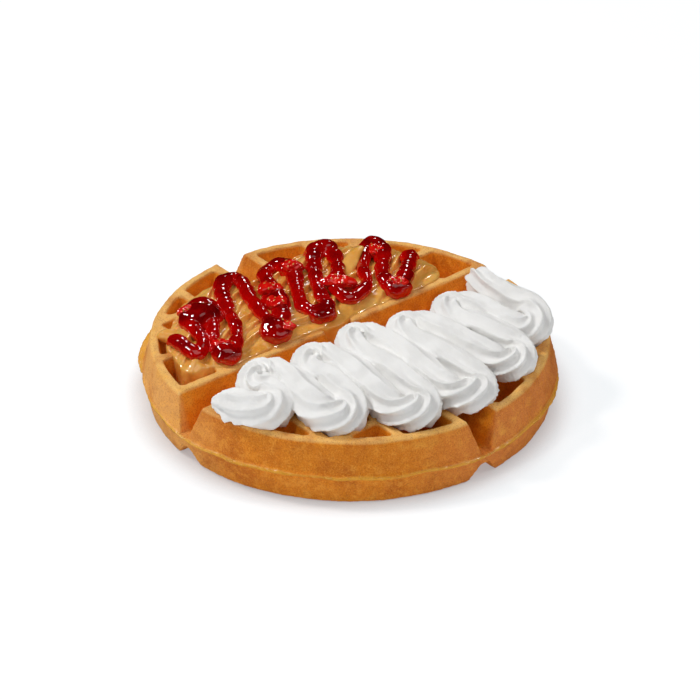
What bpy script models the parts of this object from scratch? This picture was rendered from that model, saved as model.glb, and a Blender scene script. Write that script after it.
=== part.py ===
"""A round Belgian waffle in four quarters, with peanut butter, strawberry jam and piped whipped cream.

Metres, +Z up. The origin is the middle of the waffle's underside. The dividing grooves run along X and Y.
Half the waffle (x < 0) carries the peanut butter and the jam, and the other half (x > 0) the whipped cream.
"""

import math

import bmesh
import bpy
from mathutils import Vector, kdtree, noise

MM = 0.001

# Waffle: outside
HEIGHT = 28.5 * MM
RIM_TOP_RADIUS = 85.5 * MM
RIM_SEAM_RADIUS = 88.6 * MM
RIM_FOOT_RADIUS = 86.4 * MM
FLANGE_RADIUS = 90.0 * MM
SEAM_HEIGHT = 13.4 * MM
SEAM_DIP = 1.4 * MM
FLANGE_HALF = 0.5 * MM
FLANGE_UNEVEN = 0.3 * MM
EDGE_ROUND = 1.0 * MM
TURN_STEPS = 80

# Flash: where the batter squeezed further out of the seam, as angles in degrees and reach
FLASH_SPOTS = ((219.0, 17.0, 2.6 * MM), (32.0, 14.0, 0.6 * MM), (118.0, 20.0, 0.6 * MM))

# Waffle: pockets, measured from the middle of the waffle outwards along one axis
POCKETS_EACH_WAY = 3
POCKET_START = 11.3 * MM
POCKET_SIDE = 21.6 * MM
RIB_WIDTH = 3.4 * MM
RIM_WIDTH = 3.6 * MM
POCKET_FLOOR = 15.5 * MM
POCKET_CEILING = 10.5 * MM
POCKET_DRAFT = math.tan(math.radians(11.0))
POCKET_CORNER = 2.0 * MM
POCKET_CORNER_LOSS = 0.5
POCKET_CORNER_STEPS = 8
POCKET_FILLET = 1.2 * MM

# Waffle: dividing grooves
GROOVE_HALF_TOP = 7.9 * MM
GROOVE_HALF_FOOT = 7.6 * MM
GROOVE_HALF_FLOOR = 2.2 * MM
GROOVE_FLOOR = 12.0 * MM
GROOVE_CEILING = 7.0 * MM
GROOVE_RIDGE = 0.9 * MM
GROOVE_RIDGES = 3

# Toppings keep this clear of the waffle and of each other
CLEARANCE = 0.35 * MM

# Peanut butter: its outline on the waffle, in mm, and the height of its spread top
SPREAD_OUTLINE = (
    (-10.6, -56), (-12.4, -59.8), (-15.4, -62.6), (-15.2, -67), (-16.2, -71.5), (-19.5, -73.6),
    (-24.5, -72.4), (-31, -70), (-40, -68), (-50, -59), (-57, -51), (-64, -42), (-68, -30),
    (-69.5, -22), (-67, -14), (-61, -6), (-62, 5), (-66, 18), (-66.5, 30), (-62, 43), (-54, 53),
    (-44, 61), (-31, 65), (-21, 66), (-14, 63), (-10.8, 56), (-10.6, 40), (-10.6, 22), (-10.4, 10),
    (-8.4, 5), (-7.6, 0), (-8.4, -5), (-10.4, -10), (-10.6, -26), (-10.6, -44),
)
SPREAD_FOOT = 11.5 * MM
SPREAD_TOP = 32.0 * MM
SPREAD_APRON = 7.0 * MM
SPREAD_APRON_DROP = 2.8 * MM
SPREAD_FOLD = 3.6 * MM
SPREAD_FOLD_PITCH = 7.4 * MM
SPREAD_FOLD_LEAN = 0.4
SPREAD_FOLD_RISE = 0.84

# Peanut butter: how its folds wander and its top sways, each as the length it changes over and a height
SPREAD_WARP = (24.0 * MM, 7.0 * MM)
SPREAD_RIPPLE = (11.0 * MM, 2.4 * MM)
SPREAD_SWAY = (18.0 * MM, 1.2 * MM)

# Peanut butter: drooping lobes, as x, y, height, half length, half width, half height and turn in degrees
SPREAD_LOBES = (
    (-19.4, -67.6, 25.6, 5.6, 4.4, 5.4, 70), (-64, -27, 28.5, 4.5, 3.5, 3.0, 60),
    (-47, -61, 28.5, 5.5, 3.5, 3.2, 50),
)

# Peanut butter: a fold drawn up into a tongue, as x, y, height and radius in mm, and how flat it is
SPREAD_TONGUE = ((-35.5, 24.5, 31.5, 3.0), (-39, 31, 33.5, 3.8), (-42.2, 37, 35.6, 3.2), (-44, 43, 37, 1.6))
SPREAD_TONGUE_FLATNESS = 0.4

# Strawberry jam: one strand laid back and forth, as x, y and radius in mm
JAM_ROUTE = (
    (-40.9, -67.0, 2.5), (-39.1, -65.5, 2.9), (-33.9, -65.0, 3.1), (-27.9, -65.3, 3.3),
    (-22.5, -64.6, 3.2), (-24.2, -60.2, 2.9), (-29.7, -56.6, 2.7), (-36.0, -55.1, 3.2),
    (-43.6, -52.6, 3.6), (-51.1, -47.1, 3.6), (-54.0, -41.2, 3.6), (-51.5, -38.2, 3.6),
    (-44.8, -39.5, 3.6), (-37.8, -44.2, 3.2), (-32.7, -48.6, 2.6), (-26.9, -51.9, 2.4),
    (-20.6, -54.5, 3.0), (-14.8, -55.2, 4.2), (-15.9, -50.2, 3.4), (-21.0, -44.7, 3.0),
    (-27.9, -40.0, 2.8), (-37.2, -35.6, 2.8), (-46.7, -31.1, 3.2), (-56.1, -26.1, 3.4),
    (-62.1, -21.0, 3.7), (-64.4, -15.5, 3.7), (-61.5, -13.3, 3.4), (-54.9, -15.0, 3.1),
    (-46.6, -18.7, 3.0), (-37.2, -22.1, 2.8), (-28.5, -25.0, 2.8), (-21.3, -26.8, 3.4),
    (-15.1, -28.4, 4.6), (-19.4, -21.8, 3.6), (-27.7, -15.9, 4.0), (-35.9, -11.1, 4.2),
    (-43.7, -8.3, 4.2), (-52.0, -4.6, 3.2), (-58.5, -1.2, 3.2), (-61.6, 3.5, 3.4), (-61.5, 7.9, 3.6),
    (-57.5, 9.8, 3.6), (-51.1, 9.2, 3.8), (-42.6, 4.2, 3.3), (-34.5, -1.1, 3.0), (-26.0, -5.7, 3.2),
    (-19.1, -6.8, 3.1), (-14.9, -5.7, 3.4), (-13.7, -2.9, 4.2), (-18.5, 2.1, 3.4), (-26.8, 5.5, 3.0),
    (-34.7, 9.6, 2.9), (-41.9, 14.8, 3.0), (-50.1, 20.3, 3.2), (-57.2, 26.0, 3.6), (-59.5, 31.8, 4.0),
    (-56.5, 34.0, 3.8), (-49.2, 31.5, 3.3), (-41.3, 26.8, 3.1), (-33.7, 20.6, 3.4), (-26.7, 13.8, 3.0),
    (-20.1, 12.3, 3.1), (-16.7, 15.1, 3.1), (-18.6, 22.3, 2.9), (-23.6, 28.7, 2.7), (-32.0, 33.9, 2.7),
    (-39.6, 40.3, 3.0), (-45.8, 47.1, 3.6), (-47.1, 52.8, 4.2), (-41.5, 52.3, 3.8), (-33.6, 46.2, 3.3),
    (-25.3, 39.3, 3.2), (-17.1, 35.3, 3.3), (-12.2, 35.7, 4.0), (-13.6, 40.9, 3.6), (-19.9, 48.6, 3.2),
    (-25.3, 54.9, 3.3), (-29.3, 58.6, 3.4),
)
JAM_SINK = 0.2
JAM_FLATNESS = 0.85
JAM_BRIDGE = 2.5 * MM
JAM_SIDES = 12

# Where the jam pools round its fruit, as x, y, half length, half width, height and turn in degrees
JAM_POOLS = (
    (-43.6, -46.7, 9.8, 8.8, 7.4, 70), (-15.8, -54.2, 6.8, 6.0, 4.8, 20),
    (-15.6, -28.2, 7.4, 6.6, 5.2, 30), (-36.7, -12.1, 9.0, 6.0, 4.8, -35),
    (-53.5, 9.6, 6.0, 5.0, 4.4, 40), (-14.8, -3.2, 6.4, 5.0, 4.8, 70), (-57.4, 30.6, 8.0, 5.6, 4.8, 60),
    (-29.0, 17.2, 8.4, 4.6, 4.2, 45), (-45.2, 51.0, 7.6, 6.0, 5.0, 30),
    (-13.2, 37.5, 7.0, 5.2, 4.8, 50), (-28.6, 57.6, 4.6, 4.2, 4.2, 60),
)

# Strawberry pieces in the jam, as x, y, half length, half width and turn in degrees
FRUIT = (
    (-47.6, -50.6, 4.4, 3.0, 60), (-18.4, -53.4, 5.2, 3.0, 45), (-12.8, -25.0, 4.2, 3.2, 30),
    (-41.4, -10.8, 5.4, 4.4, 70), (-31.0, -15.2, 5.6, 4.4, -30), (-51.2, 8.8, 4.4, 3.4, 40),
    (-27.6, 16.0, 7.6, 3.8, 45), (-40.4, 48.4, 5.6, 4.2, -20), (-12.6, 36.8, 4.8, 3.2, 50),
)
FRUIT_HALF_HEIGHT = 2.6 * MM

# Whipped cream: one rope laid back and forth, as x, y, height of its middle and radius in mm
CREAM_ROUTE = (
    (12, -81.9, 32.4, 5.6), (18, -79, 33.6, 7.2), (28, -75, 34, 7.8), (34, -69.5, 34.2, 7.8),
    (31, -63.5, 34.6, 7.4), (22.5, -61.5, 35, 7.2), (14.5, -63, 34.8, 7), (9, -57.5, 34.4, 7),
    (13, -51.2, 34.8, 7.2), (25, -51, 36, 7.8), (40, -54, 35.6, 8.2), (50.5, -54, 34.2, 8),
    (56, -48, 33.8, 7.8), (50, -41.5, 34.6, 7.8), (36, -39.5, 36.4, 7.6), (22, -39.6, 35.6, 7.2),
    (13.2, -33.4, 34.6, 7), (17.4, -26.8, 34.8, 7.1), (33, -27.3, 36.4, 7.6), (52, -29.6, 35.6, 7.8),
    (65.5, -29, 33.4, 7.8), (70.5, -22, 33.2, 7.6), (66, -15.8, 34.2, 7.6), (47, -14.8, 36.4, 7.5),
    (25.5, -14.8, 35.8, 7), (11.6, -9, 34.4, 6.9), (16.4, -2.2, 34.8, 7), (35, -2.2, 36.6, 7.4),
    (56, -4.2, 35.6, 7.9), (70, -3.5, 33.4, 7.6), (75, 3.5, 33, 7.4), (71.5, 10.4, 33.8, 7.4),
    (50, 9.4, 36.2, 7.8), (30, 8.0, 36, 7.1), (18, 13.2, 34.8, 6.8), (22.4, 20.6, 35, 6.9),
    (38, 22.4, 36.6, 7.2), (54, 24, 35.6, 7.8), (65.5, 27.5, 33.8, 7.4), (68, 34.8, 33.4, 7.3),
    (61, 40.4, 34.4, 7.3), (44, 37.6, 36.4, 7.1), (29, 34.2, 36, 6.8), (17.6, 38.8, 34.8, 6.7),
    (19.8, 45.4, 34.6, 6.8), (32, 48, 36, 7.2), (45.5, 48.8, 35.2, 7.2), (53, 53.6, 34.0, 7.2),
    (51, 61.2, 34.4, 7), (41.5, 66.4, 35, 7), (28, 64.6, 35.4, 7), (15, 64.6, 35.2, 7),
    (4, 67.3, 34.2, 6.6),
)
CREAM_FLUTES = 7
CREAM_FLUTE_DEPTH = 0.38
CREAM_CALM = 0.5
CREAM_CALM_SPAN = ((16.0 * MM, 30.0 * MM), (62.0 * MM, 48.0 * MM))
CREAM_SLUMP = 0.10
CREAM_FULLNESS = 1.05
CREAM_SQUASH = 0.94
CREAM_MIDDLE = 34.5 * MM

# Faces: the grain of each remeshed topping, and the share of its faces kept
SPREAD_GRAIN = 1.1 * MM
JAM_GRAIN = 0.9 * MM
CREAM_GRAIN = 0.9 * MM
SPREAD_FACES = 1120
JAM_FACES = 780
CREAM_FACES = 2680


# Scene helpers


def collection_named(name):
    group = bpy.data.collections.new(name)
    bpy.context.scene.collection.children.link(group)
    return group


def clear_scene():
    for obj in list(bpy.data.objects):
        bpy.data.objects.remove(obj)


def mesh_object(name, shape, group):
    """A new object from a bmesh, which is freed."""
    mesh = bpy.data.meshes.new(name)
    shape.to_mesh(mesh)
    shape.free()
    obj = bpy.data.objects.new(name, mesh)
    group.objects.link(obj)
    return obj


def baked(obj, name, group):
    """The object with its modifiers applied, as a new object. The old one is removed."""
    graph = bpy.context.evaluated_depsgraph_get()
    mesh = bpy.data.meshes.new_from_object(obj.evaluated_get(graph))
    bpy.data.objects.remove(obj)
    result = bpy.data.objects.new(name, mesh)
    group.objects.link(result)
    return result


def cutter(obj):
    obj.hide_render = True
    obj.display_type = "WIRE"
    return obj


def cut(obj, tool, solver="EXACT"):
    step = obj.modifiers.new("Cut " + tool.name, "BOOLEAN")
    step.operation = "DIFFERENCE"
    step.solver = solver
    step.object = tool


def remeshed(obj, grain):
    step = obj.modifiers.new("Remesh", "REMESH")
    step.mode = "VOXEL"
    step.voxel_size = grain


def smoothed(obj, factor, rounds):
    step = obj.modifiers.new("Smooth", "SMOOTH")
    step.factor = factor
    step.iterations = rounds


def thinned(obj, faces):
    """Cuts the number of triangles down to about this many."""
    step = obj.modifiers.new("Thin", "DECIMATE")
    triangles = sum(len(face.vertices) - 2 for face in obj.data.polygons)
    step.ratio = min(1.0, faces / triangles)


def surface(name, colour, roughness, coat=0.0):
    material = bpy.data.materials.new(name)
    material.use_nodes = True
    shader = material.node_tree.nodes["Principled BSDF"]
    shader.inputs["Base Color"].default_value = (*colour, 1.0)
    shader.inputs["Roughness"].default_value = roughness
    shader.inputs["Metallic"].default_value = 0.0
    shader.inputs["Coat Weight"].default_value = coat
    return material


def finish_piece(obj, material, sharp_degrees):
    obj.data.materials.clear()
    obj.data.materials.append(material)
    obj.data.shade_smooth()
    obj.data.set_sharp_from_angle(angle=math.radians(sharp_degrees))


# Curves


def through(points, spacing, closed=False):
    """A smooth curve through the points (Catmull-Rom), read about every spacing."""
    count = len(points)
    spans = count if closed else count - 1

    def at(index):
        if closed:
            return points[index % count]
        return points[min(max(index, 0), count - 1)]

    result = []
    for span in range(spans):
        a, b, c, d = (at(span + offset) for offset in (-1, 0, 1, 2))
        steps = max(1, round((c - b).length / spacing))
        for step in range(steps):
            t = step / steps
            bend = (2 * a - 5 * b + 4 * c - d) * t**2 + (3 * b - a - 3 * c + d) * t**3
            result.append(0.5 * (2 * b + (c - a) * t + bend))
    if not closed:
        result.append(points[-1].copy())
    return result


def swept(name, places, radii, sides, section, group):
    """A closed rope along the places. section(angle, heading, place) gives the share of its radius."""
    shape = bmesh.new()
    rings = []
    for index, place in enumerate(places):
        ahead = places[min(index + 1, len(places) - 1)] - places[max(index - 1, 0)]
        side = ahead.cross(Vector((0, 0, 1))).normalized()
        over = side.cross(ahead).normalized()
        heading = math.atan2(ahead.y, ahead.x)
        ring = []
        for corner in range(sides):
            angle = math.tau * corner / sides
            reach = radii[index] * section(angle, heading, place)
            away = side * reach * math.cos(angle) + over * reach * math.sin(angle)
            ring.append(shape.verts.new(place + away))
        rings.append(ring)
    for first, second in zip(rings, rings[1:]):
        for corner in range(sides):
            after = (corner + 1) % sides
            shape.faces.new((first[corner], first[after], second[after], second[corner]))
    shape.faces.new(reversed(rings[0]))
    shape.faces.new(rings[-1])
    bmesh.ops.recalc_face_normals(shape, faces=shape.faces)
    return mesh_object(name, shape, group)


def smoothstep(low, high, value):
    share = min(1.0, max(0.0, (value - low) / (high - low)))
    return share * share * (3 - 2 * share)


def lump(shape, x, y, half_length, half_width, half_height, turn, level, uneven, detail):
    """Adds a bumpy flattened ball, with its lengths in mm."""
    points = bmesh.ops.create_icosphere(shape, subdivisions=detail, radius=1.0)["verts"]
    heading = math.radians(turn)
    for vertex in points:
        bumpy = 1 + uneven * noise.noise(vertex.co * 1.7 + Vector((x, y, 0)))
        long_way = vertex.co.x * half_length * MM * bumpy
        short_way = vertex.co.y * half_width * MM * bumpy
        vertex.co = Vector((
            x * MM + long_way * math.cos(heading) - short_way * math.sin(heading),
            y * MM + long_way * math.sin(heading) + short_way * math.cos(heading),
            level + vertex.co.z * half_height * bumpy,
        ))
    return points


# Waffle


def flange_reach(angle):
    """How far the flange stands out at this angle, with the flash where the batter squeezed out."""
    uneven = math.sin(2 * angle) ** 2 * (1 + math.sin(7 * angle + 1.0) * math.sin(3 * angle))
    reach = FLANGE_RADIUS - FLANGE_UNEVEN * uneven
    for middle, spread, extra in FLASH_SPOTS:
        away = (math.degrees(angle) - middle + 180) % 360 - 180
        if abs(away) < spread:
            reach += extra * math.sqrt(1 - (away / spread) ** 2)
    return reach


def turned_disc(name, clearance, group):
    """The waffle's outside, turned about Z from a profile that runs down its outer side."""
    top = HEIGHT + clearance
    profile = (
        (0, top),
        (RIM_TOP_RADIUS - EDGE_ROUND + clearance, top),
        (RIM_TOP_RADIUS + clearance, top - EDGE_ROUND),
        (RIM_SEAM_RADIUS + clearance, SEAM_HEIGHT + 2 * FLANGE_HALF),
        (FLANGE_RADIUS + clearance, SEAM_HEIGHT + FLANGE_HALF),
        (FLANGE_RADIUS + clearance, SEAM_HEIGHT - FLANGE_HALF),
        (RIM_SEAM_RADIUS, SEAM_HEIGHT - 2 * FLANGE_HALF),
        (RIM_FOOT_RADIUS, EDGE_ROUND),
        (RIM_FOOT_RADIUS - EDGE_ROUND, 0),
        (0, 0),
    )
    shape = bmesh.new()
    points = [shape.verts.new((across, 0, up)) for across, up in profile]
    for first, second in zip(points, points[1:]):
        shape.edges.new((first, second))
    disc = mesh_object(name + "_profile", shape, group)
    turn = disc.modifiers.new("Turn", "SCREW")
    turn.steps = TURN_STEPS
    turn.render_steps = TURN_STEPS
    turn.use_merge_vertices = True
    turn.merge_threshold = 0.0001
    disc = baked(disc, name, group)
    for vertex in disc.data.vertices:
        across = math.hypot(vertex.co.x, vertex.co.y)
        if across > RIM_TOP_RADIUS + EDGE_ROUND + clearance:
            near_exit = min(abs(vertex.co.x), abs(vertex.co.y)) / (GROOVE_HALF_TOP * 2)
            vertex.co.z -= SEAM_DIP * math.exp(-near_exit**2)
        if across > FLANGE_RADIUS - 0.1 * MM:
            reach = flange_reach(math.atan2(vertex.co.y, vertex.co.x)) + clearance
            vertex.co.x *= reach / across
            vertex.co.y *= reach / across
    return disc


def cell_corners(low, high, radius):
    """The corners of a rectangle in the first quarter, cut off by a circle about the middle."""
    corners = [(low[0], low[1])]
    if math.hypot(*high) <= radius:
        return corners + [(high[0], low[1]), (high[0], high[1]), (low[0], high[1])]
    right = high[0] if math.hypot(high[0], low[1]) < radius else math.sqrt(radius**2 - low[1] ** 2)
    left_top = high[1] if math.hypot(low[0], high[1]) < radius else math.sqrt(radius**2 - low[0] ** 2)
    start = math.acos(right / radius) if right == high[0] else math.asin(low[1] / radius)
    end = math.asin(left_top / radius) if left_top == high[1] else math.acos(low[0] / radius)
    if right == high[0]:
        corners.append((right, low[1]))
    arc_steps = 3
    for step in range(arc_steps + 1):
        angle = start + (end - start) * step / arc_steps
        corners.append((radius * math.cos(angle), radius * math.sin(angle)))
    if left_top == high[1]:
        corners.append((low[0], left_top))
    return corners


def pocket_ring(low, high, inset, height):
    """Points round a pocket at one height: the cell's outline moved in, with corners that tighten."""
    corner = max(0.1 * MM, POCKET_CORNER - POCKET_CORNER_LOSS * inset)
    move = inset + corner
    radius = RIM_TOP_RADIUS - RIM_WIDTH - move
    corners = cell_corners((low[0] + move, low[1] + move), (high[0] - move, high[1] - move), radius)
    ring = []
    for x, y in corners:
        for step in range(POCKET_CORNER_STEPS):
            angle = math.tau * (step + 0.5) / POCKET_CORNER_STEPS
            ring.append(Vector((x + corner * math.cos(angle), y + corner * math.sin(angle), height)))
    return ring


def pocket_cutters(name, clearance, both_faces, group):
    """Every pocket of the four quarters as one cutter. Each is the hull of its mouth and its floor."""
    pitch = POCKET_SIDE + RIB_WIDTH
    floor = POCKET_FLOOR + clearance
    faces = [(HEIGHT, floor)]
    if both_faces:
        faces.append((0.0, POCKET_CEILING))
    shape = bmesh.new()
    for across in range(POCKETS_EACH_WAY):
        for along in range(POCKETS_EACH_WAY):
            low = (POCKET_START + pitch * across, POCKET_START + pitch * along)
            high = (low[0] + POCKET_SIDE, low[1] + POCKET_SIDE)
            if math.hypot(*low) > RIM_TOP_RADIUS - RIM_WIDTH:
                continue
            for mouth, end in faces:
                outward = math.copysign(MM, mouth - end)
                deep = abs(mouth - end)
                fillet = POCKET_FILLET if mouth > end else 0.0
                rings = pocket_ring(low, high, clearance - MM * POCKET_DRAFT, mouth + outward)
                if fillet:
                    wall_foot = clearance + (deep - fillet) * POCKET_DRAFT
                    rings += pocket_ring(low, high, wall_foot, end + fillet)
                rings += pocket_ring(low, high, clearance + deep * POCKET_DRAFT + fillet, end)
                for side_x in (1, -1):
                    for side_y in (1, -1):
                        corners = [shape.verts.new((p.x * side_x, p.y * side_y, p.z)) for p in rings]
                        bmesh.ops.convex_hull(shape, input=corners)
                        spare = {v for v in corners if not v.link_faces}
                        bmesh.ops.delete(shape, geom=list(spare), context="VERTS")
    bmesh.ops.dissolve_limit(
        shape, angle_limit=math.radians(0.5), verts=shape.verts[:], edges=shape.edges[:]
    )
    bmesh.ops.recalc_face_normals(shape, faces=shape.faces)
    return cutter(mesh_object(name, shape, group))


def groove_outline(clearance):
    """The section of the upper groove, across and up, with small ridges along its floor."""
    half_top = GROOVE_HALF_TOP - clearance
    half_floor = GROOVE_HALF_FLOOR - clearance
    floor = GROOVE_FLOOR + clearance + (GROOVE_RIDGE if clearance else 0)
    flare = (half_top - half_floor) / (HEIGHT - floor)
    outline = [(-half_top - flare * MM, HEIGHT + MM), (-half_floor, floor)]
    if clearance == 0:
        for ridge in range(GROOVE_RIDGES):
            middle = half_floor * (2 * (ridge + 0.5) / GROOVE_RIDGES - 1)
            outline += [(middle, floor + GROOVE_RIDGE)]
            if ridge < GROOVE_RIDGES - 1:
                outline += [(middle + half_floor / GROOVE_RIDGES, floor)]
    outline += [(half_floor, floor), (half_top + flare * MM, HEIGHT + MM)]
    return outline


def under_groove_outline():
    flare = (GROOVE_HALF_FOOT - GROOVE_HALF_FLOOR) / GROOVE_CEILING
    return [
        (GROOVE_HALF_FOOT + flare * MM, -MM),
        (GROOVE_HALF_FLOOR, GROOVE_CEILING),
        (-GROOVE_HALF_FLOOR, GROOVE_CEILING),
        (-GROOVE_HALF_FOOT - flare * MM, -MM),
    ]


def groove_cutter(name, outline, along_x, group):
    """A straight bar with this section, longer than the waffle is wide."""
    half_length = FLANGE_RADIUS * 1.2
    shape = bmesh.new()
    ends = []
    for end in (-half_length, half_length):
        if along_x:
            ends.append([shape.verts.new((end, across, up)) for across, up in outline])
        else:
            ends.append([shape.verts.new((across, end, up)) for across, up in outline])
    count = len(outline)
    for corner in range(count):
        after = (corner + 1) % count
        shape.faces.new((ends[0][corner], ends[0][after], ends[1][after], ends[1][corner]))
    shape.faces.new(ends[0])
    shape.faces.new(ends[1])
    bmesh.ops.recalc_face_normals(shape, faces=shape.faces)
    return cutter(mesh_object(name, shape, group))


def merged_flats(obj, degrees):
    """Joins faces that lie in one plane, which cuts leave in pieces."""
    step = obj.modifiers.new("Flats", "DECIMATE")
    step.decimate_type = "DISSOLVE"
    step.angle_limit = math.radians(degrees)


def waffle(parts, tools):
    body = turned_disc("waffle", 0.0, parts)
    cut(body, pocket_cutters("pockets", 0.0, True, tools))
    for along_x in (True, False):
        axis = "x" if along_x else "y"
        cut(body, groove_cutter("groove_" + axis, groove_outline(0.0), along_x, tools))
        cut(body, groove_cutter("under_groove_" + axis, under_groove_outline(), along_x, tools))
    merged_flats(body, 0.6)
    body = baked(body, "waffle", parts)
    finish_piece(body, surface("waffle_crust", (0.62, 0.33, 0.09), 0.62), 32)
    return body


def waffle_room(tools):
    """The waffle's top half, grown by the clearance, which the toppings are cut by."""
    room = turned_disc("waffle_room", CLEARANCE, tools)
    cut(room, pocket_cutters("room_pockets", CLEARANCE, False, tools))
    for along_x in (True, False):
        axis = "x" if along_x else "y"
        cut(room, groove_cutter("room_groove_" + axis, groove_outline(CLEARANCE), along_x, tools))
    return cutter(baked(room, "waffle_room", tools))


# Peanut butter


def spread_edge():
    """A search tree of points on the peanut butter's outline."""
    outline = through([Vector((x, y, 0)) * MM for x, y in SPREAD_OUTLINE], 0.8 * MM, closed=True)
    tree = kdtree.KDTree(len(outline))
    for index, point in enumerate(outline):
        tree.insert(point, index)
    tree.balance()
    return tree


EDGE = spread_edge()


def spread_level(x, y):
    """The height of the spread's top: a low slab whose folds run along Y, lower towards its edge."""
    warp = noise.noise(Vector((x, y, 0)) / SPREAD_WARP[0]) * SPREAD_WARP[1]
    ripple = noise.noise(Vector((x, y, 30 * MM)) / SPREAD_RIPPLE[0]) * SPREAD_RIPPLE[1]
    phase = ((x + SPREAD_FOLD_LEAN * y + warp + ripple) / SPREAD_FOLD_PITCH) % 1.0
    rise = min(phase / SPREAD_FOLD_RISE, 1 - smoothstep(SPREAD_FOLD_RISE, 1.0, phase))
    swell = 0.72 + 0.9 * noise.noise(Vector((x * 1.2, y * 0.6, 9 * MM)) / (13 * MM))
    away = EDGE.find(Vector((x, y, 0)))[2]
    edge = smoothstep(0, SPREAD_APRON, away)
    fold = SPREAD_FOLD * (rise - 0.45) * max(0.12, swell)
    sway = SPREAD_SWAY[1] * noise.noise(Vector((x, y, 50 * MM)) / SPREAD_SWAY[0])
    return SPREAD_TOP - SPREAD_APRON_DROP * (1 - edge) + (fold + sway) * (0.2 + 0.8 * edge)


def flattened(angle, heading, place):
    """An oval section that lies flat."""
    return 1 / math.hypot(math.cos(angle), math.sin(angle) / SPREAD_TONGUE_FLATNESS)


def peanut_butter(parts, tools):
    outline = through([Vector((x, y, 0)) * MM for x, y in SPREAD_OUTLINE], 2.5 * MM, closed=True)
    shape = bmesh.new()
    foot = [shape.verts.new((p.x, p.y, SPREAD_FOOT)) for p in outline]
    top = [shape.verts.new((p.x, p.y, SPREAD_TOP)) for p in outline]
    count = len(outline)
    for index in range(count):
        after = (index + 1) % count
        shape.faces.new((foot[index], foot[after], top[after], top[index]))
    shape.faces.new(foot)
    shape.faces.new(top)
    bmesh.ops.recalc_face_normals(shape, faces=shape.faces)
    slab = mesh_object("spread_slab", shape, tools)
    remeshed(slab, SPREAD_GRAIN)
    smoothed(slab, 0.5, 5)
    slab = baked(slab, "spread_soft", tools)
    for vertex in slab.data.vertices:
        share = (vertex.co.z - SPREAD_FOOT) / (SPREAD_TOP - SPREAD_FOOT)
        level = spread_level(vertex.co.x, vertex.co.y)
        vertex.co.z = SPREAD_FOOT + max(0.0, share) * (level - SPREAD_FOOT)
    marks = through([Vector(mark) * MM for mark in SPREAD_TONGUE], 1.6 * MM)
    radii = [mark.w for mark in marks]
    tongue = swept("spread_tongue", [mark.to_3d() for mark in marks], radii, 12, flattened, tools)
    shape = bmesh.new()
    shape.from_mesh(slab.data)
    shape.from_mesh(tongue.data)
    bpy.data.objects.remove(slab)
    bpy.data.objects.remove(tongue)
    for x, y, level, half_length, half_width, half_height, turn in SPREAD_LOBES:
        lump(shape, x, y, half_length, half_width, half_height * MM, turn, level * MM, 0.12, 3)
    spread = mesh_object("spread_whole", shape, tools)
    remeshed(spread, SPREAD_GRAIN)
    smoothed(spread, 0.5, 1)
    spread = baked(spread, "spread_fine", tools)
    thinned(spread, SPREAD_FACES)
    return baked(spread, "peanut_butter", parts)


# Strawberry jam


def bed_level(x, y):
    """The height at which jam rides over the spread's folds at a place, given in metres."""
    reach = JAM_BRIDGE
    near = [spread_level(x + dx * reach, y + dy * reach) for dx in (-1, 0, 1) for dy in (-1, 0, 1)]
    return (sum(near) / len(near) + max(near)) / 2


def jam(parts, tools):
    """The strand that lies on the spread's folds, with its pools and its fruit."""
    marks = [Vector((x, y, radius)) * MM for x, y, radius in JAM_ROUTE]
    places = []
    radii = []
    for mark in through(marks, 1.6 * MM):
        radius = mark.z * (1.04 + 0.14 * noise.noise(mark / (6 * MM)))
        places.append(Vector((mark.x, mark.y, bed_level(mark.x, mark.y) + radius * JAM_SINK)))
        radii.append(radius)
    for index in range(3):
        radii[index] *= 0.6 + 0.15 * index
        radii[-1 - index] *= 0.6 + 0.15 * index
    strand = swept("jam_strand", places, radii, JAM_SIDES, lambda angle, heading, place: 1.0, tools)
    for index, vertex in enumerate(strand.data.vertices):
        middle = places[index // JAM_SIDES].z
        vertex.co.z = middle + (vertex.co.z - middle) * JAM_FLATNESS
    shape = bmesh.new()
    shape.from_mesh(strand.data)
    bpy.data.objects.remove(strand)
    for x, y, half_length, half_width, height, turn in JAM_POOLS:
        lump(shape, x, y, half_length, half_width, height * MM, turn, bed_level(x * MM, y * MM), 0.15, 3)
    for x, y, half_length, half_width, turn in FRUIT:
        level = bed_level(x * MM, y * MM) + FRUIT_HALF_HEIGHT
        lump(shape, x, y, half_length, half_width, FRUIT_HALF_HEIGHT, turn, level, 0.3, 3)
    strand = mesh_object("jam_soft", shape, tools)
    remeshed(strand, JAM_GRAIN)
    smoothed(strand, 0.5, 3)
    strand = baked(strand, "jam_fine", tools)
    thinned(strand, JAM_FACES)
    return baked(strand, "jam", parts)


# Whipped cream


def star(angle, heading, place):
    """The nozzle's star, which keeps its own heading: sharp ridges, with valleys shallower on straights."""
    ridge = abs(math.sin(CREAM_FLUTES * (angle + heading) / 2))
    start, end = CREAM_CALM_SPAN
    calm = CREAM_CALM * smoothstep(*start, place.x) * smoothstep(*end, place.x)
    slump = 1 + CREAM_SLUMP * max(0.0, -math.sin(angle))
    return (1 - CREAM_FLUTE_DEPTH * (1 - calm) * ridge) * slump


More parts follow.
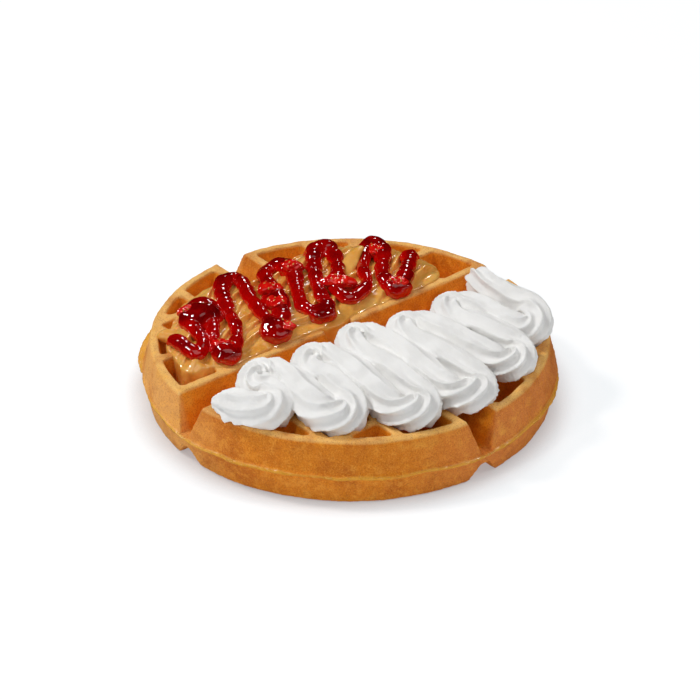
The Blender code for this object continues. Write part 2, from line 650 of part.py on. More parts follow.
def whipped_cream(parts, tools):
    marks = through([Vector(point) * MM for point in reversed(CREAM_ROUTE)], 1.8 * MM)
    count = len(marks)
    places = []
    radii = []
    for index, mark in enumerate(marks):
        place = mark.to_3d()
        taper = min(1.0, 0.5 + 0.5 * (count - 1 - index) / 3, 0.7 + 0.3 * index / 3)
        places.append(place)
        radii.append(mark.w * CREAM_FULLNESS * taper * (1 + 0.05 * noise.noise(place / (14 * MM))))
    rope = swept("cream_rope", places, radii, CREAM_FLUTES * 6, star, tools)
    for vertex in rope.data.vertices:
        vertex.co.z = CREAM_MIDDLE + (vertex.co.z - CREAM_MIDDLE) * CREAM_SQUASH
    remeshed(rope, CREAM_GRAIN)
    smoothed(rope, 0.5, 1)
    rope = baked(rope, "cream_fine", tools)
    thinned(rope, CREAM_FACES)
    return baked(rope, "whipped_cream", parts)


def grown(obj, name, tools):
    """A copy of a topping, a little larger all round, that what lies on it is cut by."""
    copy = bpy.data.objects.new(name, obj.data.copy())
    tools.objects.link(copy)
    swell = copy.modifiers.new("Grow", "DISPLACE")
    swell.strength = CLEARANCE * 1.3
    swell.mid_level = 0.0
    return cutter(baked(copy, name, tools))


def main():
    clear_scene()
    parts = collection_named("belgian_waffle")
    tools = collection_named("cutters")
    waffle(parts, tools)
    room = waffle_room(tools)
    spread = peanut_butter(parts, tools)
    strand = jam(parts, tools)
    rope = whipped_cream(parts, tools)
    spread_room = grown(spread, "spread_room", tools)
    for topping in (spread, strand, rope):
        cut(topping, room)
    cut(strand, spread_room, "MANIFOLD")
    cut(rope, spread_room, "MANIFOLD")
    finish_piece(spread, surface("peanut_butter", (0.66, 0.36, 0.11), 0.32, 0.4), 60)
    finish_piece(strand, surface("strawberry_jam", (0.42, 0.01, 0.01), 0.12, 0.8), 60)
    finish_piece(rope, surface("whipped_cream", (0.9, 0.89, 0.87), 0.5), 60)


main()
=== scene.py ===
import math

import bmesh
import bpy
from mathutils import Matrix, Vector, kdtree, noise


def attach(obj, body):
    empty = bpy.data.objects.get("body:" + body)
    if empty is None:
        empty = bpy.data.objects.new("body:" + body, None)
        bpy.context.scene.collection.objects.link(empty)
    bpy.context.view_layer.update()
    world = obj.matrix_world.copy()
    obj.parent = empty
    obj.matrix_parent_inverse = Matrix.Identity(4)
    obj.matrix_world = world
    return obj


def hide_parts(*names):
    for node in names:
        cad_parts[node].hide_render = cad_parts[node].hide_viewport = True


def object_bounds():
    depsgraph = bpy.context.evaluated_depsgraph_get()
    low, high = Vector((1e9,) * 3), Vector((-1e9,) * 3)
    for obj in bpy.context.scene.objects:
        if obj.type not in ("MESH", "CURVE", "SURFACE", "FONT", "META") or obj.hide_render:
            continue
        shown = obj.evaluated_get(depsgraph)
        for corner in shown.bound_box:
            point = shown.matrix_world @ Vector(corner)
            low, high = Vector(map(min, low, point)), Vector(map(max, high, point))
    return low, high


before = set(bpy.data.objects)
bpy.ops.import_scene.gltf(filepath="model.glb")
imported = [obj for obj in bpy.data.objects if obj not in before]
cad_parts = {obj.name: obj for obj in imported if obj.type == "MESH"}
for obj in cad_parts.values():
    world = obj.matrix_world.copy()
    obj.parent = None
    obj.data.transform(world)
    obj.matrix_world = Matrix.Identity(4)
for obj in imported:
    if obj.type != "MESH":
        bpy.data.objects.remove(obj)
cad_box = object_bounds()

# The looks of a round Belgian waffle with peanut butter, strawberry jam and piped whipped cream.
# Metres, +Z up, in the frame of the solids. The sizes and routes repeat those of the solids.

MM = 0.001

# Camera, fitted to the waffle's outline: degrees round and above, metres from the origin
CAMERA_AZIMUTH = 50.65
CAMERA_ELEVATION = 32.01
CAMERA_DISTANCE = 1.18229
CAMERA_LENS = 140.5
CAMERA_AIM_RISE = 17.3 * MM

# Waffle: outside
HEIGHT = 28.5 * MM
RIM_TOP_RADIUS = 85.5 * MM
RIM_SEAM_RADIUS = 88.6 * MM
RIM_FOOT_RADIUS = 86.4 * MM
FLANGE_RADIUS = 90.0 * MM
SEAM_HEIGHT = 13.4 * MM
SEAM_DIP = 1.4 * MM
SEAM_WAVE = 1.0 * MM
SEAM_WAVE_LENGTH = 12 * MM
FLANGE_HALF = 0.5 * MM
FLANGE_UNEVEN = 0.5 * MM
FLANGE_RAGGED = 0.8 * MM
FLANGE_RAGGED_PACE = 24
EDGE_ROUND = 1.0 * MM
TURN_STEPS = 360
FLASH_SPOTS = ((219.0, 17.0, 2.6 * MM), (32.0, 14.0, 0.6 * MM), (118.0, 20.0, 0.6 * MM))

# Waffle: pockets, measured from the middle of the waffle outwards along one axis
POCKET_ROWS = 3
POCKET_START = 11.3 * MM
POCKET_SIDE = 21.6 * MM
RIB_WIDTH = 3.4 * MM
RIM_WIDTH = 3.6 * MM
POCKET_FLOOR = 15.5 * MM
POCKET_CEILING = 10.5 * MM
POCKET_DRAFT = math.tan(math.radians(11.0))
POCKET_CORNER = 2.0 * MM
POCKET_CORNER_LOSS = 0.5
POCKET_CORNER_POINTS = 16
POCKET_ARC_STEPS = 6
POCKET_FILLET = 1.2 * MM

# Waffle: dividing grooves
GROOVE_HALF_TOP = 7.9 * MM
GROOVE_HALF_FOOT = 7.6 * MM
GROOVE_HALF_FLOOR = 2.2 * MM
GROOVE_FLOOR = 12.0 * MM
GROOVE_CEILING = 7.0 * MM
GROOVE_RIDGE = 0.9 * MM
GROOVE_RIDGES = 3

# Waffle: surface, with each relief's size, height and detail
CRUST_GRAIN = 0.5 * MM
CRUST_WARP = (16 * MM, 0.9 * MM)
CRUST_PITS = (2.4 * MM, 0.34 * MM, 2)
CRUST_FACES = 195000

# How finely the bumpy balls in the toppings are divided
LUMP_DETAIL = 5

# How far the toppings reach into what they lie on
BEDDING = 0.2 * MM

# Peanut butter: its outline on the waffle, in mm, and the height of its spread top
SPREAD_OUTLINE = (
    (-10.6, -56), (-12.4, -59.8), (-15.4, -62.6), (-15.2, -67), (-16.2, -71.5), (-19.5, -73.6),
    (-24.5, -72.4), (-31, -70), (-40, -68), (-50, -59), (-57, -51), (-64, -42), (-68, -30),
    (-69.5, -22), (-67, -14), (-61, -6), (-62, 5), (-66, 18), (-66.5, 30), (-62, 43), (-54, 53),
    (-44, 61), (-31, 65), (-21, 66), (-14, 63), (-10.8, 56), (-10.6, 40), (-10.6, 22), (-10.4, 10),
    (-8.4, 5), (-7.6, 0), (-8.4, -5), (-10.4, -10), (-10.6, -26), (-10.6, -44),
)
SPREAD_FOOT = 11.5 * MM
SPREAD_TOP = 32.0 * MM
SPREAD_APRON = 7.0 * MM
SPREAD_APRON_DROP = 2.8 * MM
SPREAD_FOLD = 3.6 * MM
SPREAD_FOLD_PITCH = 7.4 * MM
SPREAD_FOLD_LEAN = 0.4
SPREAD_FOLD_RISE = 0.84
SPREAD_FOLD_MIDDLE = 0.45
SPREAD_SWELL = (13.0 * MM, 0.9)
SPREAD_SWELL_MIDDLE = 0.72
SPREAD_SWELL_LEAST = 0.12
SPREAD_EDGE_SHARE = 0.2
SPREAD_WARP = (24.0 * MM, 7.0 * MM)
SPREAD_RIPPLE = (11.0 * MM, 2.4 * MM)
SPREAD_SWAY = (18.0 * MM, 1.2 * MM)
SPREAD_GRAIN = 0.5 * MM
SPREAD_CORNER_ROUNDS = 14

# Peanut butter: drooping lobes, as x, y, height, half length, half width, half height and turn in degrees
SPREAD_LOBES = (
    (-19.4, -67.6, 25.6, 5.6, 4.4, 5.4, 70), (-64, -27, 28.5, 4.5, 3.5, 3.0, 60),
    (-47, -61, 28.5, 5.5, 3.5, 3.2, 50),
)
SPREAD_LOBE_UNEVEN = 0.12
SPREAD_LOBE_DETAIL = 4

# Peanut butter: a fold drawn up into a tongue, as x, y, height and radius in mm, and how flat it is
SPREAD_TONGUE = ((-35.5, 24.5, 31.5, 3.0), (-39, 31, 33.5, 3.8), (-42.2, 37, 35.6, 3.2), (-44, 43, 37, 1.6))
SPREAD_TONGUE_FLATNESS = 0.4
SPREAD_TONGUE_SIDES = 20

# Strawberry jam: one strand laid back and forth, as x, y and radius in mm
JAM_ROUTE = (
    (-40.9, -67.0, 2.5), (-39.1, -65.5, 2.9), (-33.9, -65.0, 3.1), (-27.9, -65.3, 3.3),
    (-22.5, -64.6, 3.2), (-24.2, -60.2, 2.9), (-29.7, -56.6, 2.7), (-36.0, -55.1, 3.2),
    (-43.6, -52.6, 3.6), (-51.1, -47.1, 3.6), (-54.0, -41.2, 3.6), (-51.5, -38.2, 3.6),
    (-44.8, -39.5, 3.6), (-37.8, -44.2, 3.2), (-32.7, -48.6, 2.6), (-26.9, -51.9, 2.4),
    (-20.6, -54.5, 3.0), (-14.8, -55.2, 4.2), (-15.9, -50.2, 3.4), (-21.0, -44.7, 3.0),
    (-27.9, -40.0, 2.8), (-37.2, -35.6, 2.8), (-46.7, -31.1, 3.2), (-56.1, -26.1, 3.4),
    (-62.1, -21.0, 3.7), (-64.4, -15.5, 3.7), (-61.5, -13.3, 3.4), (-54.9, -15.0, 3.1),
    (-46.6, -18.7, 3.0), (-37.2, -22.1, 2.8), (-28.5, -25.0, 2.8), (-21.3, -26.8, 3.4),
    (-15.1, -28.4, 4.6), (-19.4, -21.8, 3.6), (-27.7, -15.9, 4.0), (-35.9, -11.1, 4.2),
    (-43.7, -8.3, 4.2), (-52.0, -4.6, 3.2), (-58.5, -1.2, 3.2), (-61.6, 3.5, 3.4), (-61.5, 7.9, 3.6),
    (-57.5, 9.8, 3.6), (-51.1, 9.2, 3.8), (-42.6, 4.2, 3.3), (-34.5, -1.1, 3.0), (-26.0, -5.7, 3.2),
    (-19.1, -6.8, 3.1), (-14.9, -5.7, 3.4), (-13.7, -2.9, 4.2), (-18.5, 2.1, 3.4), (-26.8, 5.5, 3.0),
    (-34.7, 9.6, 2.9), (-41.9, 14.8, 3.0), (-50.1, 20.3, 3.2), (-57.2, 26.0, 3.6), (-59.5, 31.8, 4.0),
    (-56.5, 34.0, 3.8), (-49.2, 31.5, 3.3), (-41.3, 26.8, 3.1), (-33.7, 20.6, 3.4), (-26.7, 13.8, 3.0),
    (-20.1, 12.3, 3.1), (-16.7, 15.1, 3.1), (-18.6, 22.3, 2.9), (-23.6, 28.7, 2.7), (-32.0, 33.9, 2.7),
    (-39.6, 40.3, 3.0), (-45.8, 47.1, 3.6), (-47.1, 52.8, 4.2), (-41.5, 52.3, 3.8), (-33.6, 46.2, 3.3),
    (-25.3, 39.3, 3.2), (-17.1, 35.3, 3.3), (-12.2, 35.7, 4.0), (-13.6, 40.9, 3.6), (-19.9, 48.6, 3.2),
    (-25.3, 54.9, 3.3), (-29.3, 58.6, 3.4),
)
JAM_STEP = 0.8 * MM
JAM_SIDES = 20
JAM_FULLNESS = 1.1
JAM_SWELL = (5 * MM, 0.26)
JAM_ENDS = (0.55, 0.67, 0.79, 0.91)
JAM_SINK = 0.2
JAM_FLATNESS = 0.85
JAM_BRIDGE = 2.5 * MM

# Where the jam pools round its fruit, as x, y, half length, half width, height and turn in degrees
JAM_POOLS = (
    (-43.6, -46.7, 9.8, 8.8, 7.4, 70), (-15.8, -54.2, 6.8, 6.0, 4.8, 20),
    (-15.6, -28.2, 7.4, 6.6, 5.2, 30), (-36.7, -12.1, 9.0, 6.0, 4.8, -35),
    (-53.5, 9.6, 6.0, 5.0, 4.4, 40), (-14.8, -3.2, 6.4, 5.0, 4.8, 70), (-57.4, 30.6, 8.0, 5.6, 4.8, 60),
    (-29.0, 17.2, 8.4, 4.6, 4.2, 45), (-45.2, 51.0, 7.6, 6.0, 5.0, 30),
    (-13.2, 37.5, 7.0, 5.2, 4.8, 50), (-28.6, 57.6, 4.6, 4.2, 4.2, 60),
)
JAM_POOL_UNEVEN = 0.15
JAM_RELIEF = (5 * MM, 0.7 * MM)
JAM_GRAIN = 0.42 * MM
JAM_DEEP = 4 * MM

# Strawberry pieces in the jam, as x, y, half length, half width and turn in degrees
FRUIT = (
    (-47.6, -50.6, 4.4, 3.0, 60), (-18.4, -53.4, 5.2, 3.0, 45), (-12.8, -25.0, 4.2, 3.2, 30),
    (-41.4, -10.8, 5.4, 4.4, 70), (-31.0, -15.2, 5.6, 4.4, -30), (-51.2, 8.8, 4.4, 3.4, 40),
    (-27.6, 16.0, 7.6, 3.8, 45), (-40.4, 48.4, 5.6, 4.2, -20), (-12.6, 36.8, 4.8, 3.2, 50),
)
FRUIT_HALF_HEIGHT = 2.6 * MM
FRUIT_SHOWING = 1.1 * MM
FRUIT_UNEVEN = 0.3
FRUIT_RELIEF = (6 * MM, 1.2 * MM)

# Seeds on each piece of strawberry
SEEDS = 6
SEED_RADIUS = 0.42 * MM
SEED_FORM = (0.8, 1.5, 0.5)
SEED_LOWEST = 0.35
SEED_SPAN = 0.6
GOLDEN_ANGLE = math.radians(137.5)

# Whipped cream: one rope laid back and forth, as x, y, height of its middle and radius in mm
CREAM_ROUTE = (
    (12, -81.9, 32.4, 5.6), (18, -79, 33.6, 7.2), (28, -75, 34, 7.8), (34, -69.5, 34.2, 7.8),
    (31, -63.5, 34.6, 7.4), (22.5, -61.5, 35, 7.2), (14.5, -63, 34.8, 7), (9, -57.5, 34.4, 7),
    (13, -51.2, 34.8, 7.2), (25, -51, 36, 7.8), (40, -54, 35.6, 8.2), (50.5, -54, 34.2, 8),
    (56, -48, 33.8, 7.8), (50, -41.5, 34.6, 7.8), (36, -39.5, 36.4, 7.6), (22, -39.6, 35.6, 7.2),
    (13.2, -33.4, 34.6, 7), (17.4, -26.8, 34.8, 7.1), (33, -27.3, 36.4, 7.6), (52, -29.6, 35.6, 7.8),
    (65.5, -29, 33.4, 7.8), (70.5, -22, 33.2, 7.6), (66, -15.8, 34.2, 7.6), (47, -14.8, 36.4, 7.5),
    (25.5, -14.8, 35.8, 7), (11.6, -9, 34.4, 6.9), (16.4, -2.2, 34.8, 7), (35, -2.2, 36.6, 7.4),
    (56, -4.2, 35.6, 7.9), (70, -3.5, 33.4, 7.6), (75, 3.5, 33, 7.4), (71.5, 10.4, 33.8, 7.4),
    (50, 9.4, 36.2, 7.8), (30, 8.0, 36, 7.1), (18, 13.2, 34.8, 6.8), (22.4, 20.6, 35, 6.9),
    (38, 22.4, 36.6, 7.2), (54, 24, 35.6, 7.8), (65.5, 27.5, 33.8, 7.4), (68, 34.8, 33.4, 7.3),
    (61, 40.4, 34.4, 7.3), (44, 37.6, 36.4, 7.1), (29, 34.2, 36, 6.8), (17.6, 38.8, 34.8, 6.7),
    (19.8, 45.4, 34.6, 6.8), (32, 48, 36, 7.2), (45.5, 48.8, 35.2, 7.2), (53, 53.6, 34.0, 7.2),
    (51, 61.2, 34.4, 7), (41.5, 66.4, 35, 7), (28, 64.6, 35.4, 7), (15, 64.6, 35.2, 7),
    (4, 67.3, 34.2, 6.6),
)
CREAM_STEP = 0.6 * MM
CREAM_FLUTES = 7
CREAM_FLUTE_POINTS = 14
CREAM_FLUTE_DEPTH = 0.38
CREAM_CALM = 0.5
CREAM_CALM_SPAN = ((16.0 * MM, 30.0 * MM), (62.0 * MM, 48.0 * MM))
CREAM_SLUMP = 0.10
CREAM_TORN = 0.34
CREAM_TEAR = 2.2 * MM
CREAM_TAIL = 10 * MM
CREAM_TAIL_RINGS = 14
CREAM_START_RINGS = 8
CREAM_FULLNESS = 1.05
CREAM_SWELL = (14 * MM, 0.05)
CREAM_SQUASH = 0.94
CREAM_MIDDLE = 34.5 * MM
CREAM_GRAIN = 0.52 * MM
CREAM_RELIEF = (1.3 * MM, 0.34 * MM, 2)

# Colours of the crust
CRUST_TOP = (0.98, 0.57, 0.17)
CRUST_SIDE = (0.84, 0.25, 0.008)
CRUST_WALL = (0.92, 0.30, 0.012)
CRUST_FLOOR = (0.90, 0.28, 0.010)
CRUST_BROWN = (0.56, 0.12, 0.003)
CRUST_PALE = (0.98, 0.46, 0.06)
# Painted light: the left of the outer wall is painted paler, where the key lamp shines
CRUST_PAINTED_LIGHT_LEFT = (0.95, 0.52, 0.17)
# Painted shade and sheen: the right of the outer wall is painted a little darker and bluer
CRUST_PAINTED_SHADE_SHEEN_RIGHT = (0.82, 0.24, 0.05)
# A painted highlight along the crust's sharp edges
CRUST_EDGE_HIGHLIGHT = (1.0, 0.72, 0.36)
CRUST_SEAM = (0.92, 0.48, 0.05)

# Colours of the toppings
NUT_PALE = (0.93, 0.50, 0.11)
NUT_DARK = (0.84, 0.36, 0.05)
NUT_STREAK = (0.90, 0.52, 0.15)
GEL_THIN = (0.62, 0.002, 0.001)
GEL_DEEP = (0.17, 0.0005, 0.001)
BERRY_DARK = (0.60, 0.003, 0.003)
BERRY_BRIGHT = (0.86, 0.018, 0.008)
SEED_BROWN = (0.62, 0.22, 0.04)
SEED_PALE = (0.70, 0.40, 0.08)
CREAM_SHADE = (0.92, 0.911, 0.890)
CREAM_WHITE = (0.955, 0.946, 0.926)

# Studio floor: it glows, and glows less where something stands close above it, a painted contact shadow
FLOOR_HALF = 6.0
FLOOR_PAPER = (0.40, 0.35, 0.33, 1.0)
FLOOR_GLOW = (0.88, 0.96, 1.0, 1.0)
FLOOR_GLOW_RANGE = (0.34, 0.78)
FLOOR_PAINTED_SHADOW_REACH = 15 * MM
SKY_RANGE = (0.12, 0.23)

# Lamps, as metres to the right, towards the camera and up, then width, power and whether they mirror
LAMPS = (
    ("key", (-0.75, -0.15, 1.0), 0.22, 6.6, True),
    ("softbox", (0.1, 0.2, 1.3), 0.9, 2.2, True),
    ("back", (0.1, -1.1, 0.8), 0.2, 1.8, True),
    ("front", (0.1, 1.2, 0.6), 0.5, 0.55, False),
    ("spark_left", (-0.85, 0.75, 0.8), 0.12, 2.3, True),
    ("spark_right", (0.9, 0.1, 0.8), 0.12, 2.0, True),
)


# Scene helpers


def mesh_object(name, shape):
    """A new object from a bmesh, which is freed."""
    mesh = bpy.data.meshes.new(name)
    shape.to_mesh(mesh)
    shape.free()
    obj = bpy.data.objects.new(name, mesh)
    bpy.context.scene.collection.objects.link(obj)
    return obj


def baked(obj, name):
    """The object with its modifiers applied, as a new object. The old one is removed."""
    graph = bpy.context.evaluated_depsgraph_get()
    mesh = bpy.data.meshes.new_from_object(obj.evaluated_get(graph))
    bpy.data.objects.remove(obj)
    mesh.name = name
    result = bpy.data.objects.new(name, mesh)
    bpy.context.scene.collection.objects.link(result)
    return result


def cut(obj, tool, solver="EXACT"):
    """Takes the tool's volume out of the object."""
    step = obj.modifiers.new("Cut " + tool.name, "BOOLEAN")
    step.operation = "DIFFERENCE"
    step.solver = solver
    step.object = tool


def remeshed(obj, grain):
    step = obj.modifiers.new("Remesh", "REMESH")
    step.mode = "VOXEL"
    step.voxel_size = grain * 1


def smoothed(obj, factor, rounds):
    """Evens the surface out this many times."""
    step = obj.modifiers.new("Smooth", "SMOOTH")
    step.factor = factor
    step.iterations = rounds


def roughened(obj, size, height, detail=1):
    """Moves the surface in and out by soft noise of this size."""
    texture = bpy.data.textures.new(obj.name + "_relief", "CLOUDS")
    texture.noise_scale = size
    texture.noise_depth = detail
    step = obj.modifiers.new("Relief", "DISPLACE")
    step.texture = texture
    step.strength = height
    step.mid_level = 0.5


def thinned(obj, faces):
    """Cuts the number of triangles down to about this many."""
    triangles = sum(len(face.vertices) - 2 for face in obj.data.polygons)
    if triangles > faces:
        step = obj.modifiers.new("Thin", "DECIMATE")
        step.ratio = faces / triangles


def smoothstep(low, high, value):
    """How far the value lies from low to high, from 0 to 1, easing in and out."""
    share = min(1.0, max(0.0, (value - low) / (high - low)))
    return share * share * (3 - 2 * share)


# Curves


def through(points, spacing, closed=False):
    """A smooth curve through the points (Catmull-Rom), read about every spacing."""
    count = len(points)
    spans = count if closed else count - 1

    def at(index):
        if closed:
            return points[index % count]
        return points[min(max(index, 0), count - 1)]

    result = []
    for span in range(spans):
        a, b, c, d = (at(span + offset) for offset in (-1, 0, 1, 2))
        steps = max(1, round((c - b).length / spacing))
        for step in range(steps):
            t = step / steps
            bend = (2 * a - 5 * b + 4 * c - d) * t**2 + (3 * b - a - 3 * c + d) * t**3
            result.append(0.5 * (2 * b + (c - a) * t + bend))
    if not closed:
        result.append(points[-1].copy())
    return result


def swept(name, places, radii, sides, section):
    """A closed rope along the places. section(angle, heading, place) gives the share of its radius."""
    shape = bmesh.new()
    rings = []
    for index, place in enumerate(places):
        ahead = places[min(index + 1, len(places) - 1)] - places[max(index - 1, 0)]
        side = ahead.cross(Vector((0, 0, 1))).normalized()
        over = side.cross(ahead).normalized()
        heading = math.atan2(ahead.y, ahead.x)
        ring = []
        for corner in range(sides):
            angle = math.tau * corner / sides
            reach = radii[index] * section(angle, heading, place)
            away = side * reach * math.cos(angle) + over * reach * math.sin(angle)
            ring.append(shape.verts.new(place + away))
        rings.append(ring)
    for first, second in zip(rings, rings[1:]):
        for corner in range(sides):
            after = (corner + 1) % sides
            shape.faces.new((first[corner], first[after], second[after], second[corner]))
    shape.faces.new(reversed(rings[0]))
    shape.faces.new(rings[-1])
    bmesh.ops.recalc_face_normals(shape, faces=shape.faces)
    return mesh_object(name, shape)


def lump(shape, x, y, half_length, half_width, half_height, turn, level, uneven, detail):
    """Adds a bumpy flattened ball. Its height and level are in metres, the other lengths in mm."""
    heading = math.radians(turn)
    for vertex in bmesh.ops.create_icosphere(shape, subdivisions=detail, radius=1.0)["verts"]:
        bumpy = 1 + uneven * noise.noise(vertex.co * 1.7 + Vector((x, y, 0)))
        long_way = vertex.co.x * half_length * MM * bumpy
        short_way = vertex.co.y * half_width * MM * bumpy
        vertex.co = Vector((
            x * MM + long_way * math.cos(heading) - short_way * math.sin(heading),
            y * MM + long_way * math.sin(heading) + short_way * math.cos(heading),
            level + vertex.co.z * half_height * bumpy,
        ))


# Waffle


def flange_reach(angle):
    """How far the flange stands out at this angle, with the flash where the batter squeezed out."""
    uneven = math.sin(2 * angle) ** 2 * (1 + math.sin(7 * angle + 1.0) * math.sin(3 * angle))
    round_it = Vector((math.cos(angle), math.sin(angle), 0))
    ragged = math.sin(2 * angle) ** 2 * abs(noise.fractal(round_it * FLANGE_RAGGED_PACE, 1, 2, 3))
    reach = FLANGE_RADIUS - FLANGE_UNEVEN * uneven - FLANGE_RAGGED * ragged
    for middle, spread, extra in FLASH_SPOTS:
        away = (math.degrees(angle) - middle + 180) % 360 - 180
        if abs(away) < spread:
            reach += extra * math.sqrt(1 - (away / spread) ** 2)
    return reach


def turned_disc(name, clearance):
    """The waffle's outside, turned about Z from a profile that runs down its outer side."""
    top = HEIGHT + clearance
    profile = (
        (0, top),
        (RIM_TOP_RADIUS - EDGE_ROUND + clearance, top),
        (RIM_TOP_RADIUS + clearance, top - EDGE_ROUND),
        (RIM_SEAM_RADIUS + clearance, SEAM_HEIGHT + 2 * FLANGE_HALF),
        (FLANGE_RADIUS + clearance, SEAM_HEIGHT + FLANGE_HALF),
        (FLANGE_RADIUS + clearance, SEAM_HEIGHT - FLANGE_HALF),
        (RIM_SEAM_RADIUS, SEAM_HEIGHT - 2 * FLANGE_HALF),
        (RIM_FOOT_RADIUS, EDGE_ROUND),
        (RIM_FOOT_RADIUS - EDGE_ROUND, 0),
        (0, 0),
    )
    shape = bmesh.new()
    points = [shape.verts.new((across, 0, up)) for across, up in profile]
    for first, second in zip(points, points[1:]):
        shape.edges.new((first, second))
    disc = mesh_object(name + "_profile", shape)
    turn = disc.modifiers.new("Turn", "SCREW")
    turn.steps = TURN_STEPS
    turn.render_steps = TURN_STEPS
    turn.use_merge_vertices = True
    turn.merge_threshold = 0.1 * MM
    disc = baked(disc, name)
    for vertex in disc.data.vertices:
        across = math.hypot(vertex.co.x, vertex.co.y)
        if across > RIM_TOP_RADIUS + EDGE_ROUND + clearance:
            near_exit = min(abs(vertex.co.x), abs(vertex.co.y)) / (GROOVE_HALF_TOP * 2)
            vertex.co.z -= SEAM_DIP * math.exp(-near_exit**2)
            level_place = Vector((vertex.co.x, vertex.co.y, 0))
            vertex.co.z += SEAM_WAVE * noise.noise(level_place / SEAM_WAVE_LENGTH)
        if across > FLANGE_RADIUS - 0.1 * MM:
            reach = flange_reach(math.atan2(vertex.co.y, vertex.co.x)) + clearance
            vertex.co.x *= reach / across
            vertex.co.y *= reach / across
    return disc


def cell_corners(low, high, radius):
    """The corners of a rectangle in the first quarter, cut off by a circle about the middle."""
    corners = [(low[0], low[1])]
    if math.hypot(*high) <= radius:
        return corners + [(high[0], low[1]), (high[0], high[1]), (low[0], high[1])]
    right = high[0] if math.hypot(high[0], low[1]) < radius else math.sqrt(radius**2 - low[1] ** 2)
    left_top = high[1] if math.hypot(low[0], high[1]) < radius else math.sqrt(radius**2 - low[0] ** 2)
    start = math.acos(right / radius) if right == high[0] else math.asin(low[1] / radius)
    end = math.asin(left_top / radius) if left_top == high[1] else math.acos(low[0] / radius)
    if right == high[0]:
        corners.append((right, low[1]))
    for step in range(POCKET_ARC_STEPS + 1):
        angle = start + (end - start) * step / POCKET_ARC_STEPS
        corners.append((radius * math.cos(angle), radius * math.sin(angle)))
    if left_top == high[1]:
        corners.append((low[0], left_top))
    return corners


def pocket_ring(low, high, inset, height):
    """Points round a pocket at one height: the cell's outline moved in, with corners that tighten."""
    corner = max(0.1 * MM, POCKET_CORNER - POCKET_CORNER_LOSS * inset)
    move = inset + corner
    radius = RIM_TOP_RADIUS - RIM_WIDTH - move
    corners = cell_corners((low[0] + move, low[1] + move), (high[0] - move, high[1] - move), radius)
    ring = []
    for x, y in corners:
        for step in range(POCKET_CORNER_POINTS):
            angle = math.tau * (step + 0.5) / POCKET_CORNER_POINTS
            ring.append(Vector((x + corner * math.cos(angle), y + corner * math.sin(angle), height)))
    return ring


def pocket_cutters(name, clearance, both_faces):
    """Every pocket of the four quarters as one cutter. Each is the hull of its mouth and its floor."""
    pitch = POCKET_SIDE + RIB_WIDTH
    floor = POCKET_FLOOR + clearance
    faces = [(HEIGHT, floor)]
    if both_faces:
        faces.append((0.0, POCKET_CEILING))
    shape = bmesh.new()
    for across in range(POCKET_ROWS):
        for along in range(POCKET_ROWS):
            low = (POCKET_START + pitch * across, POCKET_START + pitch * along)
            high = (low[0] + POCKET_SIDE, low[1] + POCKET_SIDE)
            if math.hypot(*low) > RIM_TOP_RADIUS - RIM_WIDTH:
                continue
            for mouth, end in faces:
                outward = math.copysign(MM, mouth - end)
                deep = abs(mouth - end)
                wall_foot = clearance + (deep - POCKET_FILLET) * POCKET_DRAFT
                rings = pocket_ring(low, high, clearance - MM * POCKET_DRAFT, mouth + outward)
                rings += pocket_ring(low, high, wall_foot, end + math.copysign(POCKET_FILLET, outward))
                rings += pocket_ring(low, high, clearance + deep * POCKET_DRAFT + POCKET_FILLET, end)
                for side_x in (1, -1):
                    for side_y in (1, -1):
                        corners = [shape.verts.new((p.x * side_x, p.y * side_y, p.z)) for p in rings]
                        bmesh.ops.convex_hull(shape, input=corners)
                        spare = {v for v in corners if not v.link_faces}
                        bmesh.ops.delete(shape, geom=list(spare), context="VERTS")
    bmesh.ops.recalc_face_normals(shape, faces=shape.faces)
    return mesh_object(name, shape)


def groove_outline(clearance, ridges):
    """The section of the upper groove, across and up, with small ridges along its floor."""
    half_top = GROOVE_HALF_TOP - clearance
    half_floor = GROOVE_HALF_FLOOR - clearance
    floor = GROOVE_FLOOR + clearance
    flare = (half_top - half_floor) / (HEIGHT - floor)
    outline = [(-half_top - flare * MM, HEIGHT + MM), (-half_floor, floor)]
    for ridge in range(ridges):
        middle = half_floor * (2 * (ridge + 0.5) / ridges - 1)
        outline.append((middle, floor + GROOVE_RIDGE))
        if ridge < ridges - 1:
            outline.append((middle + half_floor / ridges, floor))
    outline += [(half_floor, floor), (half_top + flare * MM, HEIGHT + MM)]
    return outline


def under_groove_outline():
    """The section of the groove in the underside, across and up."""
    flare = (GROOVE_HALF_FOOT - GROOVE_HALF_FLOOR) / GROOVE_CEILING
    return [
        (GROOVE_HALF_FOOT + flare * MM, -MM),
        (GROOVE_HALF_FLOOR, GROOVE_CEILING),
        (-GROOVE_HALF_FLOOR, GROOVE_CEILING),
        (-GROOVE_HALF_FOOT - flare * MM, -MM),
    ]


def groove_cutter(name, outline, along_x):
    """A straight bar with this section, longer than the waffle is wide."""
    half_length = FLANGE_RADIUS * 1.2
    shape = bmesh.new()
    ends = []
    for end in (-half_length, half_length):
        if along_x:
            ends.append([shape.verts.new((end, across, up)) for across, up in outline])
        else:
            ends.append([shape.verts.new((across, end, up)) for across, up in outline])
    count = len(outline)
    for corner in range(count):
        after = (corner + 1) % count
        shape.faces.new((ends[0][corner], ends[0][after], ends[1][after], ends[1][corner]))
    shape.faces.new(ends[0])
    shape.faces.new(ends[1])
    bmesh.ops.recalc_face_normals(shape, faces=shape.faces)
    return mesh_object(name, shape)


def waffle_body(name, clearance, both_faces, ridges):
    """The disc with its pockets and grooves cut out."""
    body = turned_disc(name + "_disc", clearance)
    tools = [pocket_cutters(name + "_pockets", clearance, both_faces)]
    for along_x in (True, False):
        axis = "_x" if along_x else "_y"
        tools.append(groove_cutter(name + "_groove" + axis, groove_outline(clearance, ridges), along_x))
        if both_faces:
            tools.append(groove_cutter(name + "_under" + axis, under_groove_outline(), along_x))
    for tool in tools:
        cut(body, tool)
    body = baked(body, name)
    for tool in tools:
        bpy.data.objects.remove(tool)
    return body


